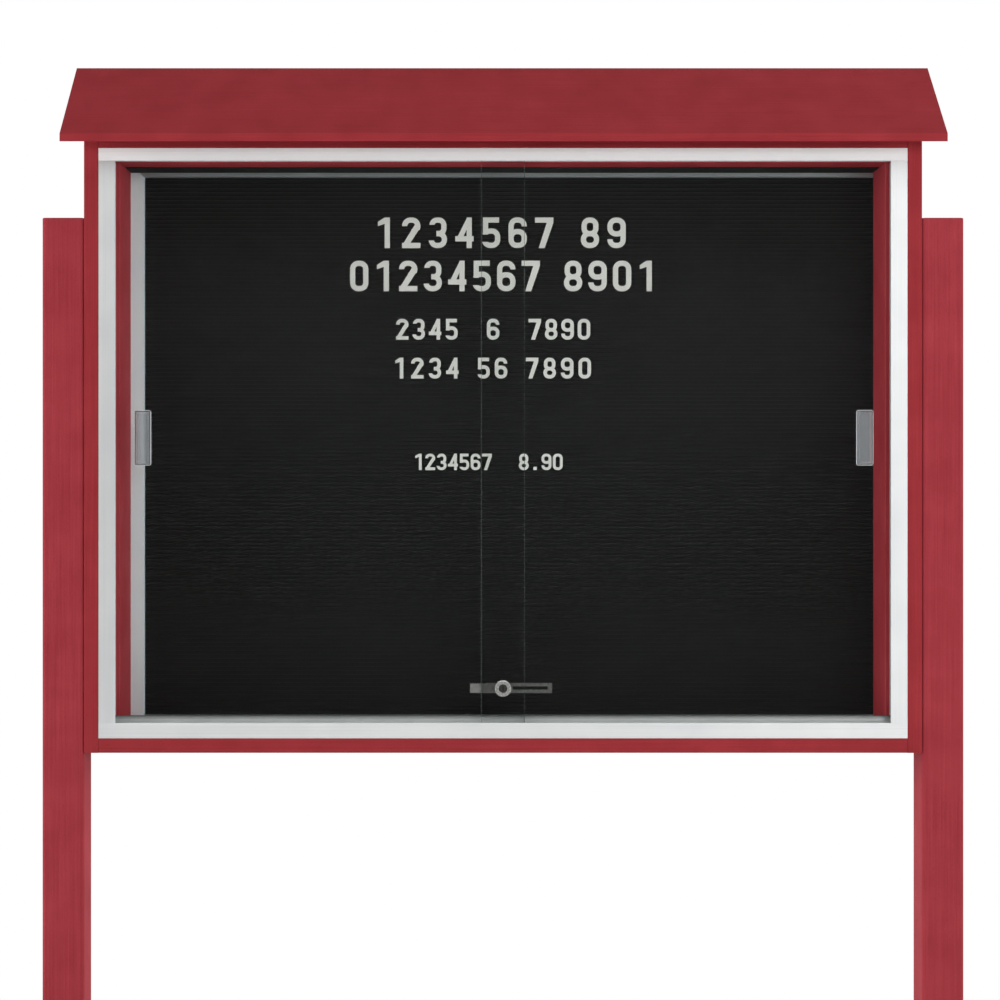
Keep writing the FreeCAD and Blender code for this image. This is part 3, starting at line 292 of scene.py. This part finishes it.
def along_axis(shape, axis):
    """The edges of a shape that run along one axis."""
    return [edge for edge in shape.edges
            if abs((edge.verts[1].co - edge.verts[0].co).normalized()[axis]) > 0.999]


def bored(piece, radius, depth, centres, axis):
    """Cut round holes into a piece, along one axis."""
    cutter = bmesh.new()
    turn = Matrix.Rotation(math.radians(90), 4, "Y" if axis == 0 else "X")
    for centre in centres:
        place = Matrix.Translation(centre) @ turn
        bmesh.ops.create_cone(cutter, cap_ends=True, segments=48, radius1=radius, radius2=radius,
                              depth=depth, matrix=place)
    cutter_mesh = bpy.data.meshes.new("cutter")
    cutter.to_mesh(cutter_mesh)
    cutter.free()
    cutter_piece = bpy.data.objects.new("cutter", cutter_mesh)
    bpy.context.scene.collection.objects.link(cutter_piece)
    cut = piece.modifiers.new("bores", "BOOLEAN")
    cut.object = cutter_piece
    piece.modifiers.move(len(piece.modifiers) - 1, 0)
    evaluated = piece.evaluated_get(bpy.context.evaluated_depsgraph_get())
    piece.data = bpy.data.meshes.new_from_object(evaluated)
    piece.modifiers.clear()
    bpy.data.objects.remove(cutter_piece)
    shade_evenly(piece)


washer_low, washer_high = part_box("post_washers")
bolt_plane = (washer_low.y + washer_high.y) / 2
washer_radius = (washer_high.y - washer_low.y) / 2
bolt_levels = [
    washer_low.z + washer_radius,
    (washer_low.z + washer_high.z) / 2,
    washer_high.z - washer_radius,
]
counterbore_radius = 15 * MM
counterbore_reach = 28 * MM
mould_radius = 6 * MM
sawn_edge = 1.2 * MM
for node, side in (("post_left", -1), ("post_right", 1)):
    shape = filling(node)
    bmesh.ops.bevel(shape, geom=along_axis(shape, 2), offset=mould_radius, affect="EDGES", segments=7,
                    profile=0.5, material=-1)
    ends = [edge for edge in shape.edges if edge.verts[0].co.z == edge.verts[1].co.z]
    bmesh.ops.bevel(shape, geom=ends, offset=sawn_edge, affect="EDGES", segments=2, profile=0.5,
                    material=-1)
    for face in shape.faces:
        face.smooth = True
    post = shown(f"{node}_cast", shape, [post_lumber], node)
    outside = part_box(node)[0].x if side < 0 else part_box(node)[1].x
    centres = [(outside, bolt_plane, level) for level in bolt_levels]
    bored(post, counterbore_radius, counterbore_reach, centres, 0)


# Bolts and washers of the posts
# Zinc-plated hex lag bolts, forged and rolled, with flat washers. The plating is greyish and a
# little blotchy, and its crystals scatter the light.

def eased(node, width, materials):
    """Show a CAD piece as a copy whose sharp edges are broken, as they are on the real piece."""
    shape = bmesh.new()
    shape.from_mesh(frame["nodes"][node].data)
    bmesh.ops.remove_doubles(shape, verts=shape.verts, dist=0.001 * MM)
    bmesh.ops.dissolve_limit(shape, angle_limit=math.radians(1), verts=shape.verts, edges=shape.edges)
    sharp = [edge for edge in shape.edges
             if edge.is_manifold and edge.calc_face_angle() > math.radians(40)]
    bmesh.ops.bevel(shape, geom=sharp, offset=width, affect="EDGES", segments=2, profile=0.5, material=-1,
                    clamp_overlap=True)
    for face in shape.faces:
        face.smooth = True
    piece = shown(f"{node}_eased", shape, materials, node)
    # Normals stored for the sharp edges no longer fit.
    for layer in [layer.name for layer in piece.data.attributes if "normal" in layer.name]:
        piece.data.attributes.remove(piece.data.attributes[layer])


def paint(node, material):
    """Give a CAD piece that is shown as it is its finish."""
    mesh = frame["nodes"][node].data
    mesh.materials.clear()
    mesh.materials.append(material)


def hardware_steel(name, dull, bright, roughness, crystal, metallic=1.0):
    """Steel of fixings and fittings: grey and a little blotchy, from the crystals of its plating or
    the marks of its forming. Fine crystals scatter light like a dull film, and less of the look is
    metal. Real crystals are too fine to show, so they are drawn coarser."""
    material, tree, shader, spot = surface(name, {"Metallic": metallic})
    patches = add(tree, "ShaderNodeTexNoise", {"Vector": spot, "Scale": 1 / crystal,
                                               "Detail": 3}).outputs[0]
    tone = add(tree, "ShaderNodeMapRange", {"Value": patches, "From Min": 0.3, "From Max": 0.7}).outputs[0]
    plating = add(tree, "ShaderNodeMix", {0: tone, 6: linear(dull), 7: linear(bright)},
                  data_type="RGBA").outputs[2]
    tree.links.new(plating, shader.inputs["Base Color"])
    rough = add(tree, "ShaderNodeMapRange", {"Value": patches, "From Min": 0.3, "From Max": 0.7,
                                             "To Min": roughness + 0.08, "To Max": roughness}).outputs[0]
    tree.links.new(rough, shader.inputs["Roughness"])
    return material


zinc = hardware_steel("zinc-plated steel, forged and rolled", "A5A6A4", "CFCFCB", 0.34, 3 * MM)
eased("post_bolts", 0.6 * MM, [zinc])
eased("post_washers", 0.25 * MM, [zinc])


# Case
# The outer box and the sheet at its back are sawn from the same red lumber. Its thick liners are of
# the same lumber painted paler, as painted light for the shade they lie in inside the case. The long edges
# are slightly rounded, and stainless screws hold them.

# Painted light: the liners are painted paler than the boards, for the shade they lie in inside the case.
upright_liner_lit = plastic_lumber("recycled plastic lumber, liners, upright", 2, "A6343B", "BC4850")
level_liner_lit = plastic_lumber("recycled plastic lumber, liners, level", 0, "A6343B", "BC4850")
for node, lumber in (
    ("side_board_left", upright_lumber),
    ("side_board_right", upright_lumber),
    ("top_board", level_lumber),
    ("bottom_board", level_lumber),
    ("liner_left", upright_liner_lit),
    ("liner_right", upright_liner_lit),
    ("liner_top", level_liner_lit),
    ("back_panel", level_lumber),
):
    eased(node, 0.5 * MM, [lumber])
stainless = hardware_steel("stainless steel, cold headed", "A9A8A4", "C9C8C4", 0.24, 5 * MM)
for node in (
    "case_screws",
    "liner_screws",
    "top_liner_screws",
    "back_screws",
    "roof_base_screws",
    "letter_screws",
    "track_screws",
):
    paint(node, stainless)


# Roof
# Two sheets of the red plastic meet at the ridge over a ridge board, eave rails and gables. Their
# screws lie under flush plugs cut from the same plastic, and their edges are lightly broken.

for node in (
    "roof_slab_front",
    "roof_slab_rear",
    "gable_left",
    "gable_right",
    "eave_rail_front",
    "eave_rail_rear",
    "ridge_board",
):
    eased(node, 0.5 * MM, [level_lumber])
paint("roof_plugs", level_lumber)
paint("roof_screws", stainless)


# Track frame
# Extruded aluminium channels, clear anodised: two wide tracks with the jambs set between them. The
# die leaves fine lines along each length. The anodising gives a soft satin grey. The top track is more
# matt, and is painted paler as painted light, to make up for the shade that the roof casts on it.

def anodised(name, along, dark, light, roughness, metallic):
    """Clear anodised aluminium extrusion: satin, with fine die lines along its length. The oxide
    scatters part of the light, so the finish is not all metal. Real die lines are finer, and are
    drawn coarser so that they show close up."""
    line_width = 0.8 * MM
    line_length = 400 * MM
    haze_width = 90 * MM
    line_depth = 0.05 * MM
    material, tree, shader, spot = surface(name, {"Metallic": metallic})
    line_scale = [1 / line_width] * 3
    line_scale[along] = 1 / line_length
    stretched = add(tree, "ShaderNodeMapping", {"Vector": spot, "Scale": line_scale}).outputs[0]
    lines = add(tree, "ShaderNodeTexNoise", {"Vector": stretched, "Scale": 1, "Detail": 2}).outputs[0]
    haze = add(tree, "ShaderNodeTexNoise", {"Vector": spot, "Scale": 1 / haze_width,
                                            "Detail": 2}).outputs[0]
    both = add(tree, "ShaderNodeMix", {0: 0.5, 2: lines, 3: haze}).outputs[0]
    tone = add(tree, "ShaderNodeMapRange", {"Value": both, "From Min": 0.35, "From Max": 0.65}).outputs[0]
    metal = add(tree, "ShaderNodeMix", {0: tone, 6: linear(dark), 7: linear(light)},
                data_type="RGBA").outputs[2]
    tree.links.new(metal, shader.inputs["Base Color"])
    rough = add(tree, "ShaderNodeMapRange", {"Value": lines, "From Min": 0.3, "From Max": 0.7,
                                             "To Min": roughness, "To Max": roughness + 0.07}).outputs[0]
    tree.links.new(rough, shader.inputs["Roughness"])
    bump = add(tree, "ShaderNodeBump", {"Height": lines, "Strength": 0.12,
                                        "Distance": line_depth}).outputs[0]
    tree.links.new(bump, shader.inputs["Normal"])
    return material


upright_track = anodised("clear anodised aluminium, upright", 2, "E2E4E5", "EEF0F0", 0.38, 0.75)
# Painted light: the top track's paler colour makes up for the eave's shade over it.
matt_track_painted_light = anodised("clear anodised aluminium, matt", 0, "F1F3F4", "F9FAFA", 0.5, 0.15)
sill_track = anodised("clear anodised aluminium, sill", 0, "E2E4E5", "EEF0F0", 0.38, 0.6)
# Painted shade darkens the sill's rear lip towards its top, inside the glass.
tree = sill_track.node_tree
shader = tree.get_output_node("ALL").inputs["Surface"].links[0].from_node
unshaded = shader.inputs["Base Color"].links[0].from_socket
spot = add(tree, "ShaderNodeTexCoord").outputs["Object"]
height = add(tree, "ShaderNodeSeparateXYZ", {0: spot}).outputs["Z"]
lip_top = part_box("bottom_track")[1].z
shade_height = 6.5 * MM
painted_shade = add(tree, "ShaderNodeMapRange", {"Value": height, "From Min": lip_top - shade_height,
                                         "From Max": lip_top, "To Max": 0.9}).outputs[0]
shaded_sill = add(tree, "ShaderNodeMix", {0: painted_shade, 6: unshaded, 7: linear("1E1F1F")},
            data_type="RGBA").outputs[2]
tree.links.new(shaded_sill, shader.inputs["Base Color"])
for node, metal in (
    ("top_track", matt_track_painted_light),
    ("bottom_track", sill_track),
    ("jamb_left", upright_track),
    ("jamb_right", upright_track),
):
    eased(node, 0.3 * MM, [metal])


# Runners and bumpers
# White nylon strips lie in the bottom channels for the glass to slide on, and black rubber blocks
# in the jambs stop it. The nylon is rubbed matt in long streaks, and the rubber has a fine bloom.

def vary(tree, shader, pattern, dark, light, smooth, rough):
    """Let one pattern take a finish from a dark to a light colour, and from smooth to rough."""
    shade = add(tree, "ShaderNodeMix", {0: pattern, 6: linear(dark), 7: linear(light)},
                data_type="RGBA").outputs[2]
    tree.links.new(shade, shader.inputs["Base Color"])
    texture = add(tree, "ShaderNodeMapRange", {"Value": pattern, "To Min": smooth,
                                               "To Max": rough}).outputs[0]
    tree.links.new(texture, shader.inputs["Roughness"])
    return shade


nylon, tree, shader, spot = surface("white nylon strip, extruded", {
    "IOR": 1.53,
    "Subsurface Weight": 0.05,
})
# The rubbed streaks and the bloom are finer on the real pieces, and are drawn coarser to show.
rubbed_scale = (1 / (70 * MM), 1 / (1.5 * MM), 1 / (1.5 * MM))
stretched = add(tree, "ShaderNodeMapping", {"Vector": spot, "Scale": rubbed_scale}).outputs[0]
rubbed = add(tree, "ShaderNodeTexNoise", {"Vector": stretched, "Scale": 1, "Detail": 2}).outputs[0]
vary(tree, shader, rubbed, "D5D4CE", "ECEBE6", 0.35, 0.6)
eased("glide_strips", 0.3 * MM, [nylon])

rubber, tree, shader, spot = surface("black rubber, moulded", {"IOR": 1.52})
bloom = add(tree, "ShaderNodeTexNoise", {"Vector": spot, "Scale": 1 / (2 * MM), "Detail": 4}).outputs[0]
vary(tree, shader, bloom, "161616", "2C2C2B", 0.6, 0.85)
eased("jamb_bumpers", 0.4 * MM, [rubber])


# Glass doors
# Two panes of 6 mm clear tempered glass, floated, cut and polished all round. The faces are clear. The
# polished edges are drawn an opaque grey-green: the green is the iron in the glass, and their glow is
# painted light. The index is below the 1.5 of real glass, because the panes mirror hardly anything of what
# is in front.

clear_glass, tree, shader, spot = surface("clear tempered glass, floated", {
    "Base Color": linear("FCFDFC"),
    "Roughness": 0.0,
    "IOR": 1.3,
    "Transmission Weight": 1.0,
})
# Rays from the lamps pass straight through, so that what lies behind the glass is lit.
path = add(tree, "ShaderNodeLightPath").outputs
lamp_ray = add(tree, "ShaderNodeMath", {0: path["Is Shadow Ray"], 1: path["Is Diffuse Ray"]},
               operation="MAXIMUM").outputs[0]
straight = add(tree, "ShaderNodeBsdfTransparent", {"Color": linear("F6F8F7")}).outputs[0]
look = add(tree, "ShaderNodeMixShader", {0: lamp_ray, 1: shader.outputs[0], 2: straight}).outputs[0]
tree.links.new(look, tree.get_output_node("ALL").inputs["Surface"])
# The ground edge is polished, and is drawn not quite clear, with its glow painted in. The wheel's marks,
# drawn coarser, dapple it.
glass_edge_glow, tree, shader, spot = surface("polished glass edge", {"IOR": 1.5, "Transmission Weight": 0.35})
wheel_marks = add(tree, "ShaderNodeTexNoise", {"Vector": spot, "Scale": 1 / (1.2 * MM),
                                               "Detail": 2}).outputs[0]
vary(tree, shader, wheel_marks, "4E5955", "6B7773", 0.15, 0.35)

lock_low, lock_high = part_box("lock_barrel")
lock_centre = (lock_low + lock_high) / 2
lock_hole_radius = 9.8 * MM
lock_hole_reach = 40 * MM
arris_width = 0.6 * MM
for node in ("door_glass_rear", "door_glass_front"):
    shape = filling(node)
    bmesh.ops.bevel(shape, geom=shape.edges[:], offset=arris_width, affect="EDGES", segments=2,
                    profile=0.5, material=-1)
    pane = shown(f"{node}_pane", shape, [clear_glass, glass_edge_glow], node)
    if node == "door_glass_front":
        bored(pane, lock_hole_radius, lock_hole_reach, [lock_centre], 1)
    # The two large faces are clear, and the rest is edge.
    for face in pane.data.polygons:
        face.material_index = 0 if abs(face.normal.y) > 0.95 else 1


# Finger pulls
# Dished pulls of smoke-clear acrylic, moulded with a flat rim and bonded to each pane. The plastic
# is just cloudy enough to look grey in front of the board, and its rounded outer edge is painted pale as a
# painted highlight.

acrylic, tree, shader, spot = surface("smoke-clear acrylic, moulded", {
    "IOR": 1.49,
    "Transmission Weight": 0.68,
    "Specular IOR Level": 0.3,
})
flow = add(tree, "ShaderNodeTexNoise", {"Vector": spot, "Scale": 1 / (14 * MM), "Detail": 2}).outputs[0]
vary(tree, shader, flow, "C4C9CD", "D3D7DA", 0.05, 0.14)
# The outer edge is painted paler and less clear than the faces, as a painted highlight along it. Its
# speckle is drawn coarser than any real grain.
edge_highlight, tree, shader, spot = surface("acrylic edge, painted highlight", {
    "IOR": 1.49,
    "Transmission Weight": 0.15,
})
highlight_speckle = add(tree, "ShaderNodeTexNoise", {"Vector": spot, "Scale": 1 / (1.5 * MM), "Detail": 2}).outputs[0]
vary(tree, shader, highlight_speckle, "D3D7DA", "ECEFF1", 0.35, 0.5)
# A film of clear adhesive holds each pull a hair off its pane. The dish narrows towards its floor.
adhesive_film = 0.2 * MM
rim_width = 4.5 * MM
dish_depth = 3.4 * MM
dish_taper = (0.82, 1, 0.96)
corner_radius = 3 * MM
lip_radius = 0.9 * MM
highlight_width = 1 * MM
for node in ("pull_rear", "pull_front"):
    shape = filling(node)
    bonded_face = max(shape.faces, key=lambda face: face.calc_center_median().y)
    bmesh.ops.translate(shape, vec=(0, -adhesive_film, 0), verts=bonded_face.verts)
    front_face = min(shape.faces, key=lambda face: face.calc_center_median().y)
    bmesh.ops.inset_region(shape, faces=[front_face], thickness=rim_width)
    dish = bmesh.ops.extrude_discrete_faces(shape, faces=[front_face])["faces"][0]
    bmesh.ops.translate(shape, vec=(0, dish_depth, 0), verts=dish.verts)
    about = Matrix.Translation(-dish.calc_center_median())
    bmesh.ops.scale(shape, vec=dish_taper, space=about, verts=dish.verts)
    corners = [edge for edge in shape.edges
               if abs((edge.verts[1].co - edge.verts[0].co).normalized().y) > 0.7]
    bmesh.ops.bevel(shape, geom=corners, offset=corner_radius, affect="EDGES", segments=5, profile=0.5,
                    material=-1)
    rims = [edge for edge in shape.edges if edge.calc_face_angle(0) > math.radians(40)]
    bmesh.ops.bevel(shape, geom=rims, offset=lip_radius, affect="EDGES", segments=3, profile=0.5,
                    material=-1)
    for face in shape.faces:
        face.smooth = True
    pull = shown(f"{node}_moulded", shape, [acrylic, edge_highlight], node)
    low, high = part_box(node)
    # Faces near the outer edge take the painted highlight.
    for face in pull.data.polygons:
        middle = face.center
        inward = min(middle.x - low.x, high.x - middle.x, middle.z - low.z, high.z - middle.z)
        face.material_index = 1 if inward < highlight_width and face.normal.y < 0.9 else 0


# Lock
# A keyed cam lock of nickel-plated brass goes through the front pane. A steel bar behind the glass
# has a toothed end and a slotted end, and the cam turns up against a keeper on the rear pane.

# The barrel has a satin that glows more than it mirrors, and the plug is dark and worn by the key.
satin_nickel, tree, shader, spot = surface("satin nickel on brass, turned", {
    "Metallic": 0.6,
    "Base Color": linear("B0B0AD"),
})
smears = add(tree, "ShaderNodeTexNoise", {"Vector": spot, "Scale": 1 / (4 * MM), "Detail": 3}).outputs[0]
rough = add(tree, "ShaderNodeMapRange", {"Value": smears, "To Min": 0.2, "To Max": 0.34}).outputs[0]
tree.links.new(rough, shader.inputs["Roughness"])
dark_plug, tree, shader, spot = surface("nickel-plated plug, blackened", {"Metallic": 1.0})
wear = add(tree, "ShaderNodeTexNoise", {"Vector": spot, "Scale": 1 / (1.6 * MM), "Detail": 3}).outputs[0]
vary(tree, shader, wear, "2E2D2C", "5E5C5A", 0.25, 0.45)
bright_steel = hardware_steel("bright zinc-plated steel, stamped", "7C7C7A", "999996", 0.26, 6 * MM, 0.5)
eased("lock_barrel", 0.4 * MM, [satin_nickel])
eased("lock_plug", 0.2 * MM, [dark_plug])
for node in ("lock_bar", "lock_cam", "lock_keeper"):
    eased(node, 0.25 * MM, [bright_steel])
for node in ("lock_bar_screws", "lock_cam_screw"):
    eased(node, 0.12 * MM, [bright_steel])


# Shade strip
# A black strip under the top liner in front of the letter board, standing in for the shade over the
# board's upper edge: it is painted shade. Its face is matt, with a speckle drawn coarse to show.

shade_strip_finish, tree, shader, spot = surface("black strip, painted shade", {"IOR": 1.5, "Specular IOR Level": 0.15})
strip_speckle = add(tree, "ShaderNodeTexNoise", {"Vector": spot, "Scale": 1 / (1.2 * MM), "Detail": 3}).outputs[0]
vary(tree, shader, strip_speckle, "1E201F", "343735", 0.75, 0.95)
bump = add(tree, "ShaderNodeBump", {"Height": strip_speckle, "Strength": 0.3, "Distance": 0.2 * MM}).outputs[0]
tree.links.new(bump, shader.inputs["Normal"])
liner_low, liner_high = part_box("liner_top")
strip_thickness = 1.2 * MM
strip_setback = 40 * MM
end_gap = 1 * MM
trim_gap = 0.3 * MM
trim_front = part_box("letter_rail_top")[0].y
strip_low = Vector((liner_low.x + end_gap, liner_low.y + strip_setback, liner_low.z - strip_thickness))
strip_high = Vector((liner_high.x - end_gap, trim_front - trim_gap, liner_low.z))
shade_strip = bmesh.new()
bmesh.ops.create_cube(shade_strip, size=1)
bmesh.ops.scale(shade_strip, vec=strip_high - strip_low, verts=shade_strip.verts)
bmesh.ops.translate(shade_strip, vec=(strip_low + strip_high) / 2, verts=shade_strip.verts)
bmesh.ops.bevel(shade_strip, geom=shade_strip.edges[:], offset=0.3 * MM, affect="EDGES", segments=2, profile=0.5,
                material=-1)
shade_strip_mesh = bpy.data.meshes.new("painted_shade_strip")
shade_strip.to_mesh(shade_strip_mesh)
shade_strip.free()
shade_strip_mesh.materials.append(shade_strip_finish)
painted_shade_strip = bpy.data.objects.new("painted_shade_strip", shade_strip_mesh)
bpy.context.scene.collection.objects.link(painted_shade_strip)
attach(painted_shade_strip, body_of["liner_top"])


# Letter board
# A black vinyl board, extruded with level ribs and grooves that take the characters. It sits in a
# trim of mitred aluminium tube, anodised like the tracks. The level lengths are darkened grey as
# painted shade, and the upright ones are painted pale and cool as painted light, and are matt. The die's
# fine streaks in the vinyl are drawn coarser than they are.

vinyl, tree, shader, spot = surface("black vinyl letter board, extruded", {
    "IOR": 1.52,
    "Specular IOR Level": 0.12,
})
streak_scale = (1 / (30 * MM), 1 / (0.8 * MM), 1 / (0.8 * MM))
stretched = add(tree, "ShaderNodeMapping", {"Vector": spot, "Scale": streak_scale}).outputs[0]
streaks = add(tree, "ShaderNodeTexNoise", {"Vector": stretched, "Scale": 1, "Detail": 3}).outputs[0]
shade = vary(tree, shader, streaks, "1A1A1A", "222223", 0.62, 0.75)
# The grooves are painted a little paler with depth: painted light that lifts them against their shade.
lift_start_depth = 0.3 * MM
lift_full_depth = 2.5 * MM
inward = add(tree, "ShaderNodeSeparateXYZ", {0: spot}).outputs["Y"]
board_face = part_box("letter_board")[0].y
groove_lift = add(tree, "ShaderNodeMapRange", {"Value": inward, "From Min": board_face + lift_start_depth,
                                         "From Max": board_face + lift_full_depth}).outputs[0]
lifted_grooves = add(tree, "ShaderNodeMix", {0: groove_lift, 6: shade, 7: linear("40403F")},
             data_type="RGBA").outputs[2]
tree.links.new(lifted_grooves, shader.inputs["Base Color"])
bump = add(tree, "ShaderNodeBump", {"Height": streaks, "Strength": 0.08, "Distance": 0.1 * MM}).outputs[0]
tree.links.new(bump, shader.inputs["Normal"])
eased("letter_board", 0.4 * MM, [vinyl])
# Painted shade on the level rails, and painted light on the pale upright stiles.
level_trim_shaded = anodised("clear anodised trim, level", 0, "B4B9BC", "C6CBCE", 0.36, 0.7)
upright_trim_lit = anodised("clear anodised trim, upright", 2, "E4F4FA", "EEFBFF", 0.6, 0.1)
for node, metal in (
    ("letter_rail_top", level_trim_shaded),
    ("letter_rail_bottom", level_trim_shaded),
    ("letter_stile_left", upright_trim_lit),
    ("letter_stile_right", upright_trim_lit),
):
    eased(node, 0.4 * MM, [metal])


# Press-in characters
# Plain digits moulded in white styrene, with tabs at the back that enter the grooves. They have
# soft edges, a slight gloss, and a faint creamy cast where the moulding is thick.

styrene, tree, shader, spot = surface("white styrene, moulded", {"IOR": 1.59, "Specular IOR Level": 0.4})
cast = add(tree, "ShaderNodeTexNoise", {"Vector": spot, "Scale": 1 / (18 * MM), "Detail": 2}).outputs[0]
vary(tree, shader, cast, "DEDDD8", "ECECE9", 0.3, 0.42)
for line in ("first", "second", "third", "fourth", "fifth"):
    eased(f"digits_{line}", 0.3 * MM, [styrene])
